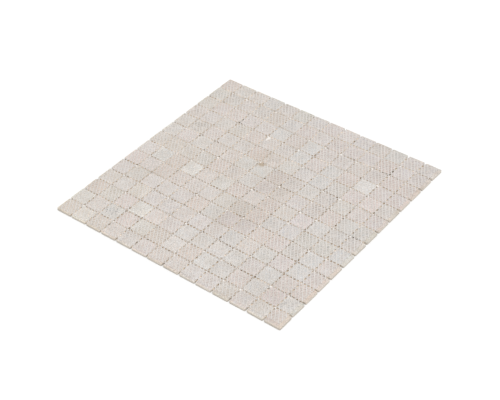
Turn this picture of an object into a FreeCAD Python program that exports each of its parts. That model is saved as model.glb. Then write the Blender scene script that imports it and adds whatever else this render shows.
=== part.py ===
import FreeCAD, Part
import math
import os

# Mosaic sheet: square stone tiles in rows, face down, tied together by a net glued on their backs.
# X runs along one side of the sheet and Y along the other; Z = 0 is the plane of the tile faces.
# The origin is the middle of the sheet. All sizes are in millimetres, angles in degrees.

# Stone tiles
tiles_per_row = 14
rows = 14
tile_side = 20.0
tile_thickness = 3.2
joint_width = 1.9

# Worn edges: the upright corners are cut, and the edges of the face are bevelled
corner_cut = 0.9
face_bevel = 0.8

# Net: two layers of straight flat threads that cross each other and make long diamonds
thread_width = 0.8
thread_thickness = 0.18
lower_thread_angle = 58.0
lower_thread_spacing = 3.53
lower_thread_offset = 1.2
upper_thread_angle = 123.6
upper_thread_spacing = 3.68
upper_thread_offset = 0.0
shortest_thread = 9.0

# Cut of the net, measured inwards from the tiles' outer edges; the low Y side is cut on a slant
net_margin_low_x = 0.6
net_margin_high_x = 3.8
net_margin_high_y = 0.6
net_margin_low_y_start = 1.0
net_margin_low_y_end = 5.0

# Values that follow from the sizes above
pitch = tile_side + joint_width
sheet_length = tiles_per_row * pitch - joint_width
sheet_width = rows * pitch - joint_width
back_level = tile_thickness
crossing_level = back_level + thread_thickness


def cut_square(half_side, level):
    """Corner points of a square outline whose corners are cut, seen from above, anticlockwise."""
    end = half_side - corner_cut
    plan = [
        (half_side, -end), (half_side, end), (end, half_side), (-end, half_side),
        (-half_side, end), (-half_side, -end), (-end, -half_side), (end, -half_side),
    ]
    return [FreeCAD.Vector(x, y, level) for x, y in plan]


def flat_polygon(points):
    """Plane face with straight edges through the points."""
    return Part.Face(Part.makePolygon(points + points[:1]))


def make_tile():
    """One tile about the Z axis: bevelled face below, upright sides, plain back on top."""
    face = cut_square(tile_side / 2 - face_bevel, 0)
    shoulder = cut_square(tile_side / 2, face_bevel)
    back = cut_square(tile_side / 2, back_level)
    skin = [flat_polygon(face), flat_polygon(back)]
    for low, high in ((face, shoulder), (shoulder, back)):
        for i in range(len(low)):
            following = (i + 1) % len(low)
            skin.append(flat_polygon([low[i], low[following], high[following], high[i]]))
    shell = Part.Shell(skin)
    shell.sewShape()
    return Part.Solid(shell)


def make_tile_row(row):
    """The separate tiles of one row, from low X to high X."""
    tile = make_tile()
    first_x = (tile_side - sheet_length) / 2
    y = (tile_side - sheet_width) / 2 + row * pitch
    tiles = []
    for column in range(tiles_per_row):
        place = FreeCAD.Vector(first_x + column * pitch, y, 0)
        tiles.append(tile.translated(place))
    return Part.makeCompound(tiles)


def net_outline(level):
    """The net's cut outline at a level, inside the tiles' outer edges."""
    low_x = net_margin_low_x - sheet_length / 2
    high_x = sheet_length / 2 - net_margin_high_x
    high_y = sheet_width / 2 - net_margin_high_y
    start_y = net_margin_low_y_start - sheet_width / 2
    end_y = net_margin_low_y_end - sheet_width / 2
    plan = [(low_x, start_y), (high_x, end_y), (high_x, high_y), (low_x, high_y)]
    return flat_polygon([FreeCAD.Vector(x, y, level) for x, y in plan])


def make_threads(angle, spacing, offset, level):
    """Parallel threads of one layer, cut off at the net's outline, lying on the given level."""
    outline = net_outline(level)
    reach = math.hypot(sheet_length, sheet_width) / 2
    along = FreeCAD.Vector(math.cos(math.radians(angle)), math.sin(math.radians(angle)), 0)
    across = FreeCAD.Vector(along.y, -along.x, 0)
    up = FreeCAD.Vector(0, 0, level)
    count = math.ceil(reach / spacing)
    threads = []
    for i in range(-count, count + 1):
        middle = across * (i * spacing + offset) + up
        half_width = across * (thread_width / 2)
        half_length = along * reach
        strip = flat_polygon([
            middle - half_width - half_length,
            middle + half_width - half_length,
            middle + half_width + half_length,
            middle - half_width + half_length,
        ])
        kept = strip.common(outline)
        if kept.Area < shortest_thread * thread_width:
            continue
        threads.append(kept.Faces[0].extrude(FreeCAD.Vector(0, 0, thread_thickness)))
    return Part.makeCompound(threads)


os.makedirs("parts", exist_ok=True)

for row in range(rows):
    make_tile_row(row).exportStep(f"parts/tile_row_{row + 1:02d}.step")

lower_threads = make_threads(
    lower_thread_angle, lower_thread_spacing, lower_thread_offset, back_level)
lower_threads.exportStep("parts/net_lower_threads.step")

upper_threads = make_threads(
    upper_thread_angle, upper_thread_spacing, upper_thread_offset, crossing_level)
upper_threads.exportStep("parts/net_upper_threads.step")
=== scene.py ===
import math
import random

import bpy
from mathutils import Euler, Matrix, Vector


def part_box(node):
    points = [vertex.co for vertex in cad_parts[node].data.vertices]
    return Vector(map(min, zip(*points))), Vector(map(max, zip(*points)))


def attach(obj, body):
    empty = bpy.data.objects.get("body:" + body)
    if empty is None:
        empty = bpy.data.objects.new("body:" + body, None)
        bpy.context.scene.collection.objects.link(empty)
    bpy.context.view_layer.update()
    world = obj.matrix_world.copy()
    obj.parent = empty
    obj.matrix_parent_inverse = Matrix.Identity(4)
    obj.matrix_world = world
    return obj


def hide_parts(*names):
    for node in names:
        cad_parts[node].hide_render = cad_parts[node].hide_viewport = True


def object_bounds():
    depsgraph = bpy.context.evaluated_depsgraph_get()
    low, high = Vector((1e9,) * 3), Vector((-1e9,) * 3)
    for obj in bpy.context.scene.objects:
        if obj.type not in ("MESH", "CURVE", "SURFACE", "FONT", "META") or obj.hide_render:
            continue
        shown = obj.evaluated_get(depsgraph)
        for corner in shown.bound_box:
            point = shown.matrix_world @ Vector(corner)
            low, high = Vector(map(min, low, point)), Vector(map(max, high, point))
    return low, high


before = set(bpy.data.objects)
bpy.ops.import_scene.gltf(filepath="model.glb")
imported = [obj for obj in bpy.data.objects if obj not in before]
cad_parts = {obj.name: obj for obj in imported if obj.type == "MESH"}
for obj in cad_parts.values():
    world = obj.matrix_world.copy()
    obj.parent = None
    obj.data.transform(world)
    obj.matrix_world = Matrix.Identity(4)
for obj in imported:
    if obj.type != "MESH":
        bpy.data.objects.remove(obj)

cad_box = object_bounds()

# Stone tiles
# Small squares sawn from slabs of cream marble and tumbled until their corners and face edges are round.
# They lie face down in rows with open joints, a little askew; only the net on their backs ties them together.
first_low, first_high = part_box("tile_row_01")
second_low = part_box("tile_row_02")[0]
tile_side = first_high.y - first_low.y
tile_thickness = first_high.z
pitch = second_low.y - first_low.y
joint_width = pitch - tile_side
tiles_per_row = round((first_high.x - first_low.x - tile_side) / pitch) + 1
row_names = sorted(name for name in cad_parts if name.startswith("tile_row_"))

corner_radius = 0.0011
face_edge_radius = 0.0006
back_arris = 0.00014
wear_depth = 0.00009
level_reach = 0.00012
stone_smoothing = math.radians(40)


def apply_place():
    """Put the place, turn and size of the active piece into its mesh."""
    bpy.ops.object.transform_apply(location=True, rotation=True, scale=True)


def start_picking(kind):
    """Deselect all of the active piece, so that some of its VERT, EDGE or FACE can be picked."""
    bpy.ops.object.mode_set(mode="EDIT")
    bpy.ops.mesh.select_mode(type=kind)
    bpy.ops.mesh.select_all(action="DESELECT")
    bpy.ops.object.mode_set(mode="OBJECT")


def pick_faces(piece, wanted):
    """Leave a piece in edit mode with only those faces selected that pass a test."""
    start_picking("FACE")
    for face in piece.data.polygons:
        face.select = wanted(face)
    bpy.ops.object.mode_set(mode="EDIT")


def pick_points(piece, wanted):
    """Leave a piece in edit mode with only those points selected that pass a test of their place."""
    start_picking("VERT")
    for point in piece.data.vertices:
        point.select = wanted(point.co)
    bpy.ops.object.mode_set(mode="EDIT")


def pick_edges(piece, wanted):
    """Leave a piece in edit mode with only those edges selected whose two ends pass a test."""
    start_picking("EDGE")
    for edge in piece.data.edges:
        start, end = (piece.data.vertices[i].co for i in edge.vertices)
        edge.select = wanted(start, end)
    bpy.ops.object.mode_set(mode="EDIT")


def flatten_at(piece, level, reach):
    """Press the points within reach of a level flat onto it."""
    pick_points(piece, lambda place: abs(place.z - level) < reach)
    bpy.ops.transform.resize(value=(1, 1, 0), center_override=(0, 0, level))


def make_tile(name, chips, seed):
    """One worn tile about the Z axis, face down; chips are (x, y, lean, size) of the corners broken off."""
    bpy.ops.object.select_all(action="DESELECT")
    bpy.ops.mesh.primitive_cube_add(size=1, location=(0, 0, tile_thickness / 2))
    tile = bpy.context.object
    tile.name = name
    tile.scale = (tile_side, tile_side, tile_thickness)
    apply_place()

    pick_edges(tile, lambda start, end: abs(start.z - end.z) > tile_thickness / 2)
    bpy.ops.mesh.bevel(offset=corner_radius, segments=2, affect="EDGES")
    pick_faces(tile, lambda face: face.normal.z < -0.9)
    bpy.ops.mesh.region_to_loop()
    bpy.ops.mesh.bevel(offset=face_edge_radius, segments=2, affect="EDGES")
    pick_faces(tile, lambda face: face.normal.z > 0.9)
    bpy.ops.mesh.region_to_loop()
    bpy.ops.mesh.bevel(offset=back_arris, segments=1, affect="EDGES")

    for x, y, lean, size in chips:
        corner = Vector((x * tile_side / 2, y * tile_side / 2, tile_thickness))
        outwards = Vector((x, y, lean)).normalized()
        broken = corner - outwards * size
        bpy.ops.mesh.select_all(action="SELECT")
        bpy.ops.mesh.bisect(plane_co=broken, plane_no=outwards, use_fill=True, clear_outer=True)

    bpy.ops.mesh.select_mode(type="VERT")
    bpy.ops.mesh.select_all(action="SELECT")
    bpy.ops.transform.vertex_random(offset=wear_depth, seed=seed)
    for level in (0, tile_thickness):
        flatten_at(tile, level, level_reach)
    bpy.ops.object.mode_set(mode="OBJECT")
    return tile


# The tiles that are copied to fill the rows, and how often each is taken
tile_patterns = [
    make_tile("tile_plain", [], 3),
    make_tile("tile_worn", [], 8),
    make_tile("tile_uneven", [], 21),
    make_tile("tile_nicked", [(1, 1, 1.3, 0.0011)], 34),
    make_tile("tile_chipped", [(-1, 1, 1.3, 0.0014), (1, -1, 1.3, 0.0010)], 55),
]
pattern_shares = [5, 5, 5, 2, 1]

# Tiles that stand out by their stone, as (column, row) counted from the corner of low X and low Y
chalky_tiles = {(3, 6), (3, 2), (11, 10)}
pale_tiles = {(4, 2), (2, 3), (8, 13), (1, 0), (7, 6), (10, 6), (6, 1), (12, 9), (5, 9)}
grey_brown_tiles = {
    (7, 5), (7, 7), (7, 8), (7, 4), (9, 5), (8, 4), (8, 3), (1, 4), (1, 12), (5, 1), (3, 3),
}
rosy_tiles = {(9, 4), (4, 7), (5, 9), (8, 6), (6, 6), (5, 4), (12, 11), (8, 5), (10, 10), (11, 12)}
green_grey_tiles = {
    (5, 11), (1, 6), (11, 2), (9, 9), (8, 1), (12, 3), (12, 4), (7, 11), (13, 5), (7, 10), (2, 1),
}
speckled_tiles = {(2, 1): 0.62, (8, 12): 0.3, (12, 5): 0.3}
veined_tiles = {(4, 3), (10, 8), (1, 9), (13, 1)}
faint_veins = (0, 0, 0.12, 0.25)

# Spread of tone and hue from tile to tile, and a painted fall-off of light and of its warmth with each column
# and row
tone_middle = 0.998
tone_spread = 0.025
tone_by_redness = -0.9
tone_by_warmth = -0.8
painted_shade_by_column = -0.0055
painted_shade_by_row = -0.0047
hue_spread = 0.0158
warmth_spread = 1.5 * hue_spread
most_redness = 0.024
most_warmth = 0.040
yellow_by_redness = 1.5
painted_warmth_by_column = -0.0028
painted_warmth_by_row = -0.0016

# Redness and warmth of the tiles that stand out, as shares of the spread of hue, and their added tone
standing_hues = ((rosy_tiles, 2.0, 1.0), (green_grey_tiles, -2.0, -1.0), (chalky_tiles, -1.7, 0.2))
standing_tones = ((chalky_tiles, 0.15), (pale_tiles, 0.065), (grey_brown_tiles, -0.06))

# How far tiles lie askew, in degrees, how much smaller some are, and how far they are shifted
most_askew = 1.2
askew_spread = 0.55
size_spread = 0.002
most_shift = 0.0004
shift_spread = 0.00018


def limited(value, most):
    """A value kept within so much of nought."""
    return max(-most, min(most, value))


def stone_tint(place, dice):
    """Red, green and blue shares of one tile's stone, near one, with a painted fall-off of light across the
    sheet; the redder and yellower it is, the darker.
    """
    column, row = (count - (tiles_per_row - 1) / 2 for count in place)
    redness = limited(dice.gauss(0, hue_spread), most_redness)
    warmth = limited(dice.gauss(0, warmth_spread), most_warmth)
    for tiles, red_share, warm_share in standing_hues:
        if place in tiles:
            redness, warmth = red_share * hue_spread, warm_share * hue_spread
    tone = tone_middle + dice.gauss(0, tone_spread) + tone_by_redness * redness + tone_by_warmth * warmth
    # Painted light: the tiles are made darker and cooler towards high X and high Y
    tone += painted_shade_by_column * column + painted_shade_by_row * row
    for tiles, added in standing_tones:
        if place in tiles:
            tone += added
    yellowness = yellow_by_redness * redness + warmth + painted_warmth_by_column * column + painted_warmth_by_row * row
    return (tone * (1 + redness), tone * (1 - redness), tone * (1 - yellowness), 1)


def point_attribute(piece, name, kind, value):
    """Give every point of a piece the same named value, for its stone to read."""
    attribute = piece.data.attributes.new(name, kind, "POINT")
    count = len(piece.data.vertices)
    field = {"FLOAT": "value", "FLOAT_VECTOR": "vector", "FLOAT_COLOR": "color"}[kind]
    values = [value] if kind == "FLOAT" else list(value)
    attribute.data.foreach_set(field, values * count)


def join_pieces(pieces, name):
    """Join pieces to one of that name."""
    bpy.ops.object.select_all(action="DESELECT")
    for piece in pieces:
        piece.select_set(True)
    bpy.context.view_layer.objects.active = pieces[0]
    bpy.ops.object.join()
    joined = bpy.context.object
    joined.name = name
    return joined


def to_sheet_edge(tile, column, row):
    """How far an outermost tile has to move to end on the edge of the sheet."""
    move = Vector((0, 0, 0))
    for axis, step in ((0, column), (1, row)):
        reach = [point.co[axis] for point in tile.data.vertices]
        if step == 0:
            move[axis] = cad_box[0][axis] - min(reach)
        if step == tiles_per_row - 1:
            move[axis] = cad_box[1][axis] - max(reach)
    return move


def lay_row(name, row, dice):
    """The tiles of one row, each with its own mesh, joined as one piece."""
    laid = []
    for column in range(tiles_per_row):
        pattern = dice.choices(tile_patterns, pattern_shares)[0]
        quarter_turns = dice.randrange(4)
        tile = pattern.copy()
        tile.data = pattern.data.copy()
        bpy.context.collection.objects.link(tile)
        askew = math.radians(limited(dice.gauss(0, askew_spread), most_askew))
        size = 1 - abs(dice.gauss(0, size_spread))
        shift = [limited(dice.gauss(0, shift_spread), most_shift) for axis in "xy"]
        centre = Vector((
            first_low.x + tile_side / 2 + column * pitch + shift[0],
            first_low.y + tile_side / 2 + row * pitch + shift[1],
            0,
        ))
        turn = Euler((0, 0, quarter_turns * math.pi / 2 + askew)).to_matrix().to_4x4()
        tile.data.transform(Matrix.Translation(centre) @ turn @ Matrix.Diagonal((size, size, 1, 1)))
        tile.data.transform(Matrix.Translation(to_sheet_edge(tile, column, row)))
        place = (column, row)
        point_attribute(tile, "tint", "FLOAT_COLOR", stone_tint(place, dice))
        point_attribute(tile, "slab_place", "FLOAT_VECTOR", [dice.uniform(-1, 1) for axis in "xyz"])
        point_attribute(tile, "specks", "FLOAT", speckled_tiles.get(place, 0.0))
        veins = 1.0 if place in veined_tiles else dice.choice(faint_veins)
        point_attribute(tile, "veins", "FLOAT", veins)
        laid.append(tile)
    piece = join_pieces(laid, name)
    bpy.ops.object.shade_smooth_by_angle(angle=stone_smoothing)
    return piece


black = (0, 0, 0, 1)
white = (1, 1, 1, 1)


def new_material(name):
    """A material with its nodes, links and surface shader."""
    material = bpy.data.materials.new(name)
    material.use_nodes = True
    nodes = material.node_tree.nodes
    return material, nodes, material.node_tree.links, nodes["Principled BSDF"]


def srgb(red, green, blue):
    """Linear colour from the eight-bit values that it shows as."""
    def linear(value):
        share = value / 255
        return share / 12.92 if share <= 0.04045 else ((share + 0.055) / 1.055) ** 2.4
    return (linear(red), linear(green), linear(blue), 1)


def ramp(nodes, links, value, stops):
    """Colour that a value has between (place, colour) stops."""
    node = nodes.new("ShaderNodeValToRGB")
    elements = node.color_ramp.elements
    while len(elements) < len(stops):
        elements.new(0.5)
    for element, (place, colour) in zip(elements, stops):
        element.position = place
        element.color = colour
    links.new(value, node.inputs["Fac"])
    return node.outputs["Color"]


def fill_in(links, sockets, values):
    """Give each socket its value, or link it to the socket that gives the value."""
    for socket, value in zip(sockets, values):
        if isinstance(value, bpy.types.NodeSocket):
            links.new(value, socket)
        else:
            socket.default_value = value


def mix_colour(nodes, links, way, share, first, second):
    """Mix two colours; share, first and second are sockets or plain values."""
    node = nodes.new("ShaderNodeMix")
    node.data_type = "RGBA"
    node.blend_type = way
    fill_in(links, (node.inputs[0], node.inputs[6], node.inputs[7]), (share, first, second))
    return node.outputs[2]


def sums(nodes, links, operation, first, second=0.0, third=0.0):
    """One step of arithmetic; each term is a socket or a plain number."""
    node = nodes.new("ShaderNodeMath")
    node.operation = operation
    fill_in(links, node.inputs, (first, second, third))
    return node.outputs[0]


def noise(nodes, links, place, scale, detail=4.0, roughness=0.55):
    """Cloudy noise at a scale per metre, as its value from 0 to 1."""
    node = nodes.new("ShaderNodeTexNoise")
    node.inputs["Scale"].default_value = scale
    node.inputs["Detail"].default_value = detail
    node.inputs["Roughness"].default_value = roughness
    links.new(place, node.inputs["Vector"])
    return node.outputs["Fac"]


def distance_from(nodes, links, coordinates, place):
    """Distance of each spot of a surface from a place."""
    node = nodes.new("ShaderNodeVectorMath")
    node.operation = "DISTANCE"
    links.new(coordinates, node.inputs[0])
    node.inputs[1].default_value = place
    return node.outputs["Value"]


def read_attribute(nodes, name):
    """Outputs of a node that reads a named value of the piece."""
    node = nodes.new("ShaderNodeAttribute")
    node.attribute_name = name
    return node.outputs


def read_axes(nodes, links, vector):
    """Outputs X, Y and Z of a vector."""
    node = nodes.new("ShaderNodeSeparateXYZ")
    links.new(vector, node.inputs["Vector"])
    return node.outputs


def add_relief(nodes, links, shader, height, strength, distance):
    """Light a surface as if it had a relief of that height, so deep at the most."""
    bump = nodes.new("ShaderNodeBump")
    bump.inputs["Strength"].default_value = strength
    bump.inputs["Distance"].default_value = distance
    links.new(height, bump.inputs["Height"])
    links.new(bump.outputs["Normal"], shader.inputs["Normal"])


# The net ends a little inside its solids along low X and high Y, and glue reaches a little past it
net_low, net_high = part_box("net_lower_threads")
bare_rim_low_x = 0.0008
bare_rim_high_y = 0.0010
net_low.x += bare_rim_low_x
net_high.y -= bare_rim_high_y
glue_reach = 0.0006
glue_rim_scale = 160
glue_rim_wobble = 0.0016
glue_rim_sharpness = 2500.0

# Places, reaches and strengths of a faint cast on a tile and of the brown spot at the crossing beside it
stain_colour = srgb(178, 154, 122)
stain_rim_scale = 260
stain_middle = 0.45
stains = (
    ((-0.0250, 0.0520, tile_thickness), 0.0150, 0.14),
    ((-0.0172, 0.0405, tile_thickness), 0.0052, 0.66),
)


def stained(nodes, links, coordinates, colour):
    """A colour soaked brown by a spot of old resin; it has uneven rims and a faint cast beyond."""
    wobble = noise(nodes, links, coordinates, stain_rim_scale, 2, 0.5)
    for place, reach, strength in stains:
        distance = distance_from(nodes, links, coordinates, place)
        near = sums(nodes, links, "MULTIPLY_ADD", distance, -1 / reach, stain_middle)
        near = sums(nodes, links, "ADD", near, wobble)
        spread = ramp(nodes, links, near, [(0.0, black), (0.5, white)])
        share = sums(nodes, links, "MULTIPLY", spread, strength)
        colour = mix_colour(nodes, links, "MIX", share, colour, stain_colour)
    return colour


# Colours of the stone, and scales of its patterns for each metre
cloud_colours = [(0.30, srgb(215, 204, 191)), (0.52, srgb(224, 214, 203)), (0.75, srgb(230, 222, 212))]
cloud_scale = 90
grain_shades = [(0.36, (0.74, 0.73, 0.715, 1)), (0.62, (1.155, 1.155, 1.155, 1))]
grain_scale = 900
mottle_shades = [(0.3, (0.968, 1.012, 1.045, 1)), (0.7, (1.032, 0.988, 0.955, 1))]
mottle_scale = 240
vein_colour = srgb(186, 178, 168)
vein_scale = 70
vein_width = 0.035
speck_colour = srgb(137, 134, 132)
speck_scale = 420
speck_gathering = 2100.0
# Painted shade on the sides of the tiles, darker towards the floor
side_shade_colours = (srgb(207, 199, 187), srgb(235, 225, 211))
side_levels = (0.0004, 0.0016)
side_shade_strength = 0.75
side_gain = 1.3
side_softness = 0.1
flat_facing = 0.6
glue_shade = srgb(245, 246, 254)
glue_patches = [(0.25, (0.55, 0.55, 0.55, 1)), (0.7, white)]
glue_patch_scale = 240
glue_banks = [(0.55, (0.99, 0.99, 0.99, 1)), (0.92, (1.048, 1.046, 1.041, 1))]
saw_mark_angle = math.radians(25)
saw_mark_scale = 2600
saw_mark_stretch = 0.06
saw_mark_share = 0.5
stone_relief = (0.35, 0.00012)
relief_by_honing = -0.85
sawn_roughness = 0.72
roughness_by_honing = -0.35
roughness_by_glue = -0.22


def make_stone():
    """Cream marble: cloudy, grained, here and there veined or speckled; sawn behind and honed in front."""
    material, nodes, links, shader = new_material("cream_marble")
    coordinates = nodes.new("ShaderNodeTexCoord").outputs["Object"]
    in_slab = nodes.new("ShaderNodeVectorMath")
    in_slab.operation = "ADD"
    links.new(coordinates, in_slab.inputs[0])
    links.new(read_attribute(nodes, "slab_place")["Vector"], in_slab.inputs[1])
    in_slab = in_slab.outputs["Vector"]

    clouds = ramp(nodes, links, noise(nodes, links, in_slab, cloud_scale, 5), cloud_colours)
    grain = ramp(nodes, links, noise(nodes, links, in_slab, grain_scale, 3), grain_shades)
    colour = mix_colour(nodes, links, "MULTIPLY", 1.0, clouds, grain)
    mottles = ramp(nodes, links, noise(nodes, links, in_slab, mottle_scale, 2), mottle_shades)
    colour = mix_colour(nodes, links, "MULTIPLY", 1.0, colour, mottles)

    # Veins follow the lines along which a broad noise is at its middle
    from_vein = sums(nodes, links, "SUBTRACT", noise(nodes, links, in_slab, vein_scale, 6, 0.6), 0.5)
    from_vein = sums(nodes, links, "ABSOLUTE", from_vein)
    vein_share = ramp(nodes, links, from_vein, [(0.0, white), (vein_width, black)])
    vein_share = sums(nodes, links, "MULTIPLY", vein_share, read_attribute(nodes, "veins")["Fac"])
    colour = mix_colour(nodes, links, "MIX", vein_share, colour, vein_colour)

    # Specks gather about the middle of a tile
    place = read_axes(nodes, links, coordinates)
    across = []
    for axis, start in (("X", first_low.x), ("Y", first_low.y)):
        along = sums(nodes, links, "SUBTRACT", place[axis], start + tile_side / 2)
        across.append(sums(nodes, links, "PINGPONG", along, pitch / 2))
    squares = [sums(nodes, links, "MULTIPLY", away, away) for away in across]
    from_middle = sums(nodes, links, "ADD", *squares)
    spots = noise(nodes, links, in_slab, speck_scale, 2)
    gathered = sums(nodes, links, "MULTIPLY_ADD", from_middle, -speck_gathering, spots)
    speck_share = ramp(nodes, links, gathered, [(0.48, black), (0.54, white)])
    speck_share = sums(nodes, links, "MULTIPLY", speck_share, read_attribute(nodes, "specks")["Fac"])
    colour = mix_colour(nodes, links, "MIX", speck_share, colour, speck_colour)
    tint = read_attribute(nodes, "tint")["Color"]
    colour = mix_colour(nodes, links, "MULTIPLY", 1.0, colour, tint)

    # The sides are painted with shade: a beige that darkens towards the floor
    normal = nodes.new("ShaderNodeNewGeometry").outputs["Normal"]
    upward = read_axes(nodes, links, normal)["Z"]
    on_side = sums(nodes, links, "SUBTRACT", 1.0, sums(nodes, links, "ABSOLUTE", upward))
    on_side = sums(nodes, links, "MULTIPLY", on_side, side_gain)
    on_side = sums(nodes, links, "SMOOTH_MIN", 1.0, on_side, side_softness)
    height = nodes.new("ShaderNodeMapRange")
    height.inputs["From Min"].default_value = side_levels[0]
    height.inputs["From Max"].default_value = side_levels[1]
    links.new(place["Z"], height.inputs["Value"])
    side_shading = mix_colour(nodes, links, "MIX", height.outputs["Result"], *side_shade_colours)
    painted_side_share = sums(nodes, links, "MULTIPLY", on_side, side_shade_strength)
    colour = mix_colour(nodes, links, "MIX", painted_side_share, colour, side_shading)

    # The film of glue on the backs ends at an uneven rim just past the net, and banks up near the joints
    wobble = noise(nodes, links, coordinates, glue_rim_scale, 3)
    wobble = sums(nodes, links, "MULTIPLY", wobble, glue_rim_wobble)
    inside = 1.0
    for axis, low, high in (("X", net_low.x, net_high.x), ("Y", net_low.y, net_high.y)):
        for edge, sign in ((low, 1), (high, -1)):
            depth = sums(nodes, links, "MULTIPLY_ADD", place[axis], sign, glue_reach - sign * edge)
            depth = sums(nodes, links, "SUBTRACT", depth, wobble)
            depth = sums(nodes, links, "MULTIPLY", depth, glue_rim_sharpness)
            inside = sums(nodes, links, "MINIMUM", inside, depth)
    inside = sums(nodes, links, "MAXIMUM", inside, 0.0)
    on_back = sums(nodes, links, "GREATER_THAN", upward, flat_facing)
    glued = sums(nodes, links, "MULTIPLY", inside, on_back)
    patches = ramp(nodes, links, noise(nodes, links, coordinates, glue_patch_scale, 4), glue_patches)
    glue_share = sums(nodes, links, "MULTIPLY", glued, patches)
    colour = mix_colour(nodes, links, "MULTIPLY", glue_share, colour, glue_shade)
    near_joint = sums(nodes, links, "MULTIPLY", sums(nodes, links, "MAXIMUM", *across), 2 / tile_side)
    banks = ramp(nodes, links, near_joint, glue_banks)
    colour = mix_colour(nodes, links, "MULTIPLY", glued, colour, banks)
    links.new(stained(nodes, links, coordinates, colour), shader.inputs["Base Color"])

    # The honed face below is smoother than the sawn back, and has hardly any relief
    honed = sums(nodes, links, "LESS_THAN", upward, -flat_facing)
    rough = sums(nodes, links, "MULTIPLY_ADD", honed, roughness_by_honing, sawn_roughness)
    rough = sums(nodes, links, "MULTIPLY_ADD", glue_share, roughness_by_glue, rough)
    links.new(rough, shader.inputs["Roughness"])
    stretched = nodes.new("ShaderNodeMapping")
    stretched.inputs["Rotation"].default_value = (0, 0, saw_mark_angle)
    stretched.inputs["Scale"].default_value = (1, saw_mark_stretch, 1)
    links.new(in_slab, stretched.inputs["Vector"])
    saw_marks = noise(nodes, links, stretched.outputs["Vector"], saw_mark_scale, 3)
    pits = noise(nodes, links, in_slab, grain_scale, 4)
    relief = sums(nodes, links, "MULTIPLY_ADD", saw_marks, saw_mark_share, pits)
    relief_share = sums(nodes, links, "MULTIPLY_ADD", honed, relief_by_honing, 1.0)
    relief = sums(nodes, links, "MULTIPLY", relief, relief_share)
    add_relief(nodes, links, shader, relief, *stone_relief)
    return material


cream_marble = make_stone()
stone_seed = 4977
dice = random.Random(stone_seed)
for row, node in enumerate(row_names):
    stone_row = lay_row(f"stone_row_{row + 1:02d}", row, dice)
    stone_row.data.materials.clear()
    stone_row.data.materials.append(cream_marble)
    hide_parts(node)
    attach(stone_row, "root")
for pattern in tile_patterns:
    bpy.data.objects.remove(pattern)

# Backing net
# A knitted net of white yarn with long diamond meshes, pressed into glue across the backs of the tiles.
# It was cut a few millimetres smaller than the sheet, on a slant along one side, and spans the open joints.
rising_angle = math.radians(58.0)
falling_angle = math.radians(123.6)
rising_spacing = 0.00353
falling_spacing = 0.00368
knot_start = Vector((0.0008, -0.0008, 0))
rising_width = 0.00090
falling_width = 0.00115
yarn_height = 0.00030
yarn_shoulder = 0.6 * yarn_height
thinning_at_knots = 0.8
knot_size = Vector((0.0014, 0.0021, 0.00036))


def leg_of_yarn(angle, spacing):
    """A yarn's run from one knot to the next, at its angle; spacing is that of the yarns it meets."""
    direction = Vector((math.cos(angle), math.sin(angle), 0))
    return direction * spacing / math.sin(falling_angle - rising_angle)


rising_leg = leg_of_yarn(rising_angle, falling_spacing)
falling_leg = leg_of_yarn(falling_angle, rising_spacing)
column_step = rising_leg - falling_leg
row_step = rising_leg + falling_leg

# Columns and rows of meshes that cover the net although the rows lean, with a few to spare
spare = 3
columns = math.ceil((net_high.x - net_low.x) / column_step.x) + spare
lean = abs(columns * column_step.y)
net_rows = math.ceil((net_high.y - net_low.y + lean) / row_step.y) + spare
first_knot = knot_start - column_step * round(columns / 2) - row_step * round(net_rows / 2)

# The slant of the cut at low Y, from its start at low X to its end, inwards from the edge of the sheet
slant_start = 0.0010
slant_end = 0.0050

# How near to a cut a point counts as lying on it, and how near to each other points are merged
snap = 0.000001
double_reach = 0.00001

# How the yarns are drawn out of line, as (axis, kind of cloud, size of cloud, most movement)
slack = [
    ("X", "BLENDER_ORIGINAL", 0.070, 0.0005),
    ("Y", "ORIGINAL_PERLIN", 0.080, 0.0005),
    ("X", "IMPROVED_PERLIN", 0.007, 0.00018),
    ("Y", "BLENDER_ORIGINAL", 0.006, 0.00015),
]


def repeat(piece, step, count):
    """Array a piece at a step and apply it."""
    bpy.context.view_layer.objects.active = piece
    array = piece.modifiers.new("repeat", "ARRAY")
    array.count = count
    array.use_relative_offset = False
    array.use_constant_offset = True
    array.constant_offset_displace = step
    bpy.ops.object.modifier_apply(modifier=array.name)


def repeat_over_net(piece):
    """Repeat a leg of yarn or a knot all over the net."""
    repeat(piece, rising_leg, 2)
    repeat(piece, column_step, columns)
    repeat(piece, row_step, net_rows)


def slacken(piece, fields):
    """Draw a piece out of line along its axes by soft clouds."""
    bpy.context.view_layer.objects.active = piece
    for axis, basis, size, most in fields:
        clouds = bpy.data.textures.new(f"slack_{axis}_{size}", "CLOUDS")
        clouds.noise_basis = basis
        clouds.noise_scale = size
        clouds.noise_depth = 1
        pull = piece.modifiers.new("slack", "DISPLACE")
        pull.texture = clouds
        pull.direction = axis
        pull.strength = 2 * most
        pull.mid_level = 0.5
        bpy.ops.object.modifier_apply(modifier=pull.name)


def cut_to_size(piece, inset=0.0, close=True):
    """Trim a piece along the net's four sides, at low X and high Y by an inset further in; close the cuts."""
    slant = Vector((slant_end - slant_start, first_low.x - first_high.x, 0))
    cuts = [
        (net_low + Vector((inset, 0, 0)), Vector((-1, 0, 0))),
        (net_high, Vector((1, 0, 0))),
        (net_high - Vector((0, inset, 0)), Vector((0, 1, 0))),
        (Vector((first_low.x, first_low.y + slant_start, 0)), slant),
    ]
    bpy.ops.object.mode_set(mode="EDIT")
    for place, outwards in cuts:
        bpy.ops.mesh.select_all(action="SELECT")
        bpy.ops.mesh.bisect(
            plane_co=place, plane_no=outwards, use_fill=close, clear_outer=True, threshold=snap)
    bpy.ops.object.mode_set(mode="OBJECT")


def merge_doubles():
    """Merge points of the active piece that lie in one place."""
    bpy.ops.mesh.select_all(action="SELECT")
    bpy.ops.mesh.remove_doubles(threshold=double_reach)
    bpy.ops.object.mode_set(mode="OBJECT")


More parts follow.
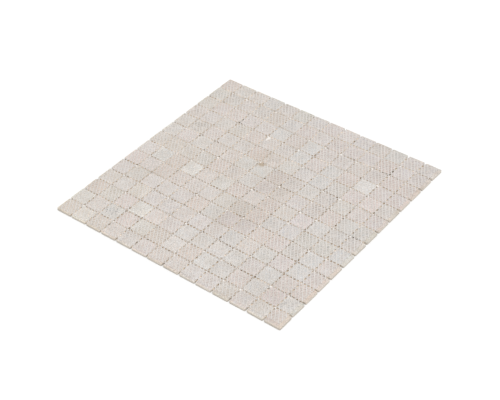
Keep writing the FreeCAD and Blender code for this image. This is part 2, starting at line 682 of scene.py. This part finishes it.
def make_yarns(name, leg, width):
    """All yarns that run one way: a leg from knot to knot, plump in the middle, repeated and trimmed."""
    bpy.ops.object.select_all(action="DESELECT")
    bpy.ops.mesh.primitive_cube_add(size=1)
    yarn = bpy.context.object
    yarn.name = name
    yarn.scale = (leg.length, width, yarn_height)
    apply_place()
    half_leg = leg.length / 2
    pick_edges(yarn, lambda start, end: min(start.z, end.z) > 0 and abs(start.x - end.x) > half_leg)
    bpy.ops.mesh.bevel(offset=yarn_shoulder, segments=1, affect="EDGES")
    pick_faces(yarn, lambda face: abs(face.normal.x) > 0.9)
    bpy.ops.mesh.delete(type="FACE")
    bpy.ops.mesh.select_all(action="SELECT")
    bpy.ops.mesh.bisect(plane_co=(0, 0, 0), plane_no=(1, 0, 0))
    pick_points(yarn, lambda place: abs(place.x) > half_leg / 2)
    bpy.ops.transform.resize(value=(1, thinning_at_knots, 1))
    bpy.ops.object.mode_set(mode="OBJECT")

    yarn.rotation_euler.z = math.atan2(leg.y, leg.x)
    yarn.location = first_knot + leg / 2 + Vector((0, 0, tile_thickness + yarn_height / 2))
    apply_place()
    repeat_over_net(yarn)
    bpy.ops.object.mode_set(mode="EDIT")
    merge_doubles()
    slacken(yarn, slack)
    cut_to_size(yarn)
    bpy.ops.object.shade_smooth()
    return yarn


def make_knots(name):
    """The knots where the yarns meet, flattened by pressing, long in the way the net was knitted."""
    bpy.ops.object.select_all(action="DESELECT")
    bpy.ops.mesh.primitive_uv_sphere_add(segments=6, ring_count=3, radius=0.5)
    knot = bpy.context.object
    knot.name = name
    knot.scale = knot_size
    knot.location = first_knot + Vector((0, 0, tile_thickness + knot_size.z / 2))
    apply_place()
    repeat_over_net(knot)
    slacken(knot, slack)
    cut_to_size(knot)
    bpy.ops.object.shade_smooth()
    return knot


# Glue soaks the yarns more towards low X, and in puddles given by their middle and reach
soak_by_metre = -0.22
soak_scale = 110
puddle_strength = 0.42
puddles = (
    ((0.018, 0.015, tile_thickness), 0.036),
    ((0.018, -0.045, tile_thickness), 0.038),
    ((0.110, -0.118, tile_thickness), 0.036),
    ((-0.110, -0.035, tile_thickness), 0.034),
)
soaked_colour = srgb(217, 211, 204)
fibre_scale = 6000
fibre_stretch = 0.25
fibre_relief = (0.6, 0.00008)
yarn_roughness = 0.85
yarn_roughness_by_glue = -0.35


def make_yarn_finish(name, angle, dull, bright):
    """White knitted yarn, its plies along one angle, soaked here and there with dried glue."""
    material, nodes, links, shader = new_material(name)
    coordinates = nodes.new("ShaderNodeTexCoord").outputs["Object"]
    along = nodes.new("ShaderNodeMapping")
    along.inputs["Rotation"].default_value = (0, 0, -angle)
    links.new(coordinates, along.inputs["Vector"])
    fibres = nodes.new("ShaderNodeMapping")
    fibres.inputs["Scale"].default_value = (fibre_stretch, 1, 1)
    links.new(along.outputs["Vector"], fibres.inputs["Vector"])
    strands = noise(nodes, links, fibres.outputs["Vector"], fibre_scale, 3, 0.6)
    yarn = ramp(nodes, links, strands, [(0.3, dull), (0.6, bright)])

    x = read_axes(nodes, links, coordinates)["X"]
    clouds = noise(nodes, links, coordinates, soak_scale, 4)
    soaked = sums(nodes, links, "MULTIPLY_ADD", x, soak_by_metre, clouds)
    for middle, reach in puddles:
        away = distance_from(nodes, links, coordinates, middle)
        in_puddle = sums(nodes, links, "MULTIPLY_ADD", away, -1 / reach, 1.0)
        in_puddle = sums(nodes, links, "MAXIMUM", in_puddle, 0.0)
        soaked = sums(nodes, links, "MULTIPLY_ADD", in_puddle, puddle_strength, soaked)
    glue = ramp(nodes, links, soaked, [(0.40, black), (0.75, white)])
    colour = mix_colour(nodes, links, "MIX", glue, yarn, soaked_colour)
    links.new(stained(nodes, links, coordinates, colour), shader.inputs["Base Color"])
    rough = sums(nodes, links, "MULTIPLY_ADD", glue, yarn_roughness_by_glue, yarn_roughness)
    links.new(rough, shader.inputs["Roughness"])
    add_relief(nodes, links, shader, strands, *fibre_relief)
    return material


rising_yarns = make_yarns("net_rising_yarns", rising_leg, rising_width)
falling_yarns = make_yarns("net_falling_yarns", falling_leg, falling_width)
knots = make_knots("net_knots")
# One white yarn in all three; the rising yarns and the knots are painted darker than the falling yarns, as
# painted shade
net_pieces = (
    (rising_yarns, rising_angle, srgb(213, 207, 202), srgb(227, 222, 217)),
    (falling_yarns, falling_angle, srgb(219, 214, 209), srgb(235, 231, 227)),
    (knots, math.pi / 2, srgb(214, 208, 203), srgb(230, 225, 220)),
)
for piece, angle, dull, bright in net_pieces:
    piece.data.materials.clear()
    piece.data.materials.append(make_yarn_finish(f"{piece.name}_yarn", angle, dull, bright))
    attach(piece, "root")
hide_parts("net_lower_threads")
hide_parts("net_upper_threads")
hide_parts("net_lower_threads", "net_upper_threads")

# Glue in the joints
# The glue that the net was pressed into has run into the joints from the back and dried to a beige film.
# It spans from tile to tile a little below their backs, dips in the middle, and is missing here and there.
film_width = joint_width + 0.0010
film_thickness = 0.00016
film_dip = 0.00022
film_depth = 0.00050
film_fall = 0.00060
film_inset = 0.0024

# How far from its middle a film's inner lines of points lie at the most, as shares of its width, how much
# these lines spread, and how much of the dip they take before the middle one takes the rest
inner_lines = 0.3
middle_line = 0.1
inner_spread = 1.25
inner_dip = 0.75
film_waves = [("Z", "ORIGINAL_PERLIN", 0.012, 0.00022)]
glue_smoothing = math.radians(50)
missing_share = 0.008
missing_seed = 77


def make_film(name, along):
    """The film in the joints that run along X or Y, still without thickness: one strip, repeated."""
    bpy.ops.object.select_all(action="DESELECT")
    bpy.ops.mesh.primitive_grid_add(x_subdivisions=6, y_subdivisions=4, size=1)
    film = bpy.context.object
    film.name = name
    film.scale = (pitch if along == "X" else tile_side - 2 * corner_radius, film_width, 1)
    apply_place()
    pick_points(film, lambda place: abs(place.y) < film_width * inner_lines)
    bpy.ops.transform.resize(value=(1, inner_spread, 1))
    bpy.ops.transform.translate(value=(0, 0, -film_dip * inner_dip))
    pick_points(film, lambda place: abs(place.y) < film_width * middle_line)
    bpy.ops.transform.translate(value=(0, 0, -film_dip * (1 - inner_dip)))
    bpy.ops.object.mode_set(mode="OBJECT")

    if along == "X":
        place = Vector((first_low.x + tile_side / 2, first_low.y + (tile_side + pitch) / 2, 0))
        counts = (tiles_per_row, len(row_names) - 1)
    else:
        film.rotation_euler.z = math.pi / 2
        place = Vector((first_low.x + (tile_side + pitch) / 2, first_low.y + tile_side / 2, 0))
        counts = (tiles_per_row - 1, len(row_names))
    film.location = place
    apply_place()
    repeat(film, Vector((pitch, 0, 0)), counts[0])
    repeat(film, Vector((0, pitch, 0)), counts[1])
    return film


# Beige of the glue, painted browner as shade where the film lies deep; dark spots are painted shade of holes
# in the film
glue_tones_and_shade = [(0.34, srgb(190, 168, 143)), (0.5, srgb(226, 210, 191)), (0.64, srgb(253, 240, 229))]
glue_tone_scale = 85
painted_hole_shades = [(0.32, (0.33, 0.275, 0.215, 1)), (0.44, white)]
hole_shade_scale = 330
film_roughness = 0.45
film_relief_scale = 900
film_relief = (0.4, 0.0001)


def make_dried_glue():
    """Dried glue: beige and half clear, smooth and a little shiny; painted browner as shade where the film
    lies deep, with dark spots of painted shade.
    """
    material, nodes, links, shader = new_material("dried_glue")
    coordinates = nodes.new("ShaderNodeTexCoord").outputs["Object"]
    tone = ramp(nodes, links, noise(nodes, links, coordinates, glue_tone_scale, 4), glue_tones_and_shade)
    hole_shading = ramp(nodes, links, noise(nodes, links, coordinates, hole_shade_scale, 2), painted_hole_shades)
    colour = mix_colour(nodes, links, "MULTIPLY", 1.0, tone, hole_shading)
    links.new(stained(nodes, links, coordinates, colour), shader.inputs["Base Color"])
    shader.inputs["Roughness"].default_value = film_roughness
    ripples = noise(nodes, links, coordinates, film_relief_scale, 3)
    add_relief(nodes, links, shader, ripples, *film_relief)
    return material


films = [make_film(f"film_{along}", along) for along in "XY"]
joint_glue = join_pieces(films, "joint_glue")
crossing = first_low + Vector((-1, -1, 0)) * joint_width / 2
dice = random.Random(missing_seed)
missing = set()
for a in range(2 * tiles_per_row):
    for b in range(2 * len(row_names)):
        if dice.random() < missing_share:
            missing.add((a, b))


def is_missing(face):
    """Whether a face of the film lies in a half of a joint that took up no glue."""
    place = (face.center - crossing) / pitch * 2
    return (int(place.x), int(place.y)) in missing


pick_faces(joint_glue, is_missing)
bpy.ops.mesh.delete(type="FACE")
merge_doubles()
slope = math.atan(film_fall / (first_high.x - first_low.x))
joint_glue.rotation_euler = (slope, slope, 0)
joint_glue.location.z = tile_thickness - film_depth
apply_place()
slacken(joint_glue, film_waves)
cut_to_size(joint_glue, inset=film_inset, close=False)
thicken = joint_glue.modifiers.new("thicken", "SOLIDIFY")
thicken.thickness = film_thickness
bpy.ops.object.modifier_apply(modifier=thicken.name)
bpy.ops.object.shade_smooth_by_angle(angle=glue_smoothing)
joint_glue.data.materials.clear()
joint_glue.data.materials.append(make_dried_glue())
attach(joint_glue, "root")

# Drops of glue
# Glue that came up through the net at the corners of some tiles, pressed flat and dried to milky drops.
# One drop is far larger than the others; it is made of two that run into each other.
drop_height = cad_box[1][2] - tile_thickness
bright_crossings = {
    (2, 13), (12, 13), (9, 12), (11, 12), (7, 11), (12, 11), (8, 10), (11, 9), (4, 8), (8, 8), (3, 7),
    (7, 7), (8, 7), (9, 7), (10, 7), (11, 7), (13, 7), (1, 5), (9, 5), (13, 5), (6, 3), (12, 2), (1, 1),
    (10, 1), (11, 1),
}
bright_widths = (0.0022, 0.0031)
small_widths = (0.0013, 0.0024)
offsets_x = (0.0005, 0.0017)
offsets_y = (-0.0020, -0.0008)
small_drop_share = 0.65
drop_oval = 0.8
drop_top = 0.96
drop_taper = 0.88
rim_unevenness = 0.10
drop_arris = 0.04
most_drop_turn = 0.6
drop_seed = 512
dice = random.Random(drop_seed)


def make_drop(name, place, size, seed):
    """One flat drop with an uneven rim; place is its middle on the backs and size its three diameters."""
    bpy.ops.object.select_all(action="DESELECT")
    bpy.ops.mesh.primitive_cylinder_add(vertices=12, radius=0.5, depth=1, location=(0, 0, 0.5))
    drop = bpy.context.object
    drop.name = name
    apply_place()
    pick_points(drop, lambda place: place.z > 0.9)
    bpy.ops.transform.resize(value=(drop_taper, drop_taper, 1), center_override=(0, 0, 1))
    bpy.ops.mesh.select_all(action="SELECT")
    bpy.ops.transform.vertex_random(offset=rim_unevenness, seed=seed)
    for level in (0, 1):
        flatten_at(drop, level, 2 * rim_unevenness)
    bpy.ops.mesh.select_mode(type="EDGE")
    bpy.ops.mesh.bevel(offset=drop_arris, segments=1, affect="EDGES")
    bpy.ops.object.mode_set(mode="OBJECT")
    drop.scale = size
    drop.rotation_euler.z = dice.uniform(-most_drop_turn, most_drop_turn)
    drop.location = place
    apply_place()
    bpy.ops.object.shade_smooth_by_angle(angle=glue_smoothing)
    return drop


milk_colours = [(0.3, srgb(243, 236, 229)), (0.65, srgb(250, 246, 241))]
milk_scale = 700
drop_roughness = 0.4
drop_relief_scale = 1200
drop_relief = (0.3, 0.0001)


def make_milky_glue():
    """Dried glue in a drop: milky, a little uneven in tone, with a dull shine."""
    material, nodes, links, shader = new_material("milky_glue")
    coordinates = nodes.new("ShaderNodeTexCoord").outputs["Object"]
    milky = ramp(nodes, links, noise(nodes, links, coordinates, milk_scale, 3), milk_colours)
    links.new(milky, shader.inputs["Base Color"])
    shader.inputs["Roughness"].default_value = drop_roughness
    ripples = noise(nodes, links, coordinates, drop_relief_scale, 3)
    add_relief(nodes, links, shader, ripples, *drop_relief)
    return material


drops = [
    make_drop("drop", (-0.0401, 0.0848, tile_thickness), (0.0060, 0.0032, drop_height * 0.99), 3),
    make_drop("drop", (-0.0405, 0.0820, tile_thickness), (0.0025, 0.0064, drop_height * 0.98), 5),
]
for a in range(1, tiles_per_row):
    for b in range(1, len(row_names)):
        bright = (a, b) in bright_crossings
        width = dice.uniform(*(bright_widths if bright else small_widths))
        off = Vector((dice.uniform(*offsets_x), dice.uniform(*offsets_y), 0))
        place = crossing + Vector((a, b, 0)) * pitch + off
        place.z = tile_thickness
        if bright or dice.random() < small_drop_share:
            size = (width, width * drop_oval, drop_height * drop_top)
            drops.append(make_drop("drop", place, size, a + tiles_per_row * b))
glue_drops = join_pieces(drops, "glue_drops")
glue_drops.data.materials.clear()
glue_drops.data.materials.append(make_milky_glue())
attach(glue_drops, "root")

# Floor and light
# A white floor that keeps the soft shadow of the sheet, under an even sky and one broad lamp.
# For the camera the floor is lifted to the white of the backdrop, the more so the further out.
floor_size = 6.0
floor_colour = srgb(192, 192, 192)
floor_roughness = 0.9
lift_at_sheet = 0.42
lift_by_metre = 0.4
most_lift = 0.64
sky_level = 0.71


def make_floor():
    """White floor, lit as white paper and lifted for the camera by a glow that lights nothing else."""
    material, nodes, links, shader = new_material("white_floor")
    shader.inputs["Base Color"].default_value = floor_colour
    shader.inputs["Roughness"].default_value = floor_roughness
    rays = nodes.new("ShaderNodeLightPath")
    seen = sums(nodes, links, "MAXIMUM", rays.outputs["Is Camera Ray"], rays.outputs["Is Glossy Ray"])
    seen = sums(nodes, links, "MAXIMUM", seen, rays.outputs["Is Transmission Ray"])
    coordinates = nodes.new("ShaderNodeTexCoord").outputs["Object"]
    from_sheet = distance_from(nodes, links, coordinates, (0, 0, 0))
    lift = sums(nodes, links, "MULTIPLY_ADD", from_sheet, lift_by_metre, lift_at_sheet)
    lift = sums(nodes, links, "MULTIPLY", seen, sums(nodes, links, "MINIMUM", lift, most_lift))
    shader.inputs["Emission Color"].default_value = white
    links.new(lift, shader.inputs["Emission Strength"])
    return material


bpy.ops.object.select_all(action="DESELECT")
bpy.ops.mesh.primitive_plane_add(size=floor_size)
floor = bpy.context.object
floor.name = "floor"
floor.data.materials.append(make_floor())

world = bpy.data.worlds.new("even_sky")
world.use_nodes = True
bpy.context.scene.world = world
sky_nodes, sky_links = world.node_tree.nodes, world.node_tree.links
sky = sky_nodes["Background"]
sky.inputs["Color"].default_value = white
seen = sky_nodes.new("ShaderNodeLightPath").outputs["Is Camera Ray"]
strength = sums(sky_nodes, sky_links, "MULTIPLY_ADD", seen, 1 - sky_level, sky_level)
sky_links.new(strength, sky.inputs["Strength"])

lamp_place = (2.24, -1.05, 4.35)
lamp_side = 2.8
lamp_power = 96
bpy.ops.object.light_add(type="AREA", location=lamp_place)
lamp = bpy.context.object
lamp.name = "lamp_right"
lamp.data.shape = "SQUARE"
lamp.data.size = lamp_side
lamp.data.energy = lamp_power
lamp.rotation_euler = (-Vector(lamp_place)).to_track_quat("-Z", "Y").to_euler()

# Camera
# It looks down on the near corner of the sheet at the angle of the photograph.
view_azimuth = math.radians(38.90)
view_elevation = math.radians(40.35)
view_roll = math.radians(-1.70)
view_target = Vector((0.01014, -0.01653, tile_thickness))
view_distance = 1.3200
sensor_width = 36
focal_length = 86.59

camera_data = bpy.data.cameras.new("camera")
camera_data.sensor_width = sensor_width
camera_data.lens = focal_length
camera = bpy.data.objects.new("camera", camera_data)
bpy.context.collection.objects.link(camera)
turn = Matrix.Rotation(view_azimuth, 4, "Z") @ Matrix.Rotation(math.pi / 2 - view_elevation, 4, "X")
turn = turn @ Matrix.Rotation(view_roll, 4, "Z")
camera.matrix_world = Matrix.Translation(view_target) @ turn @ Matrix.Translation((0, 0, view_distance))
bpy.context.scene.camera = camera
bpy.context.scene.view_settings.view_transform = "Standard"
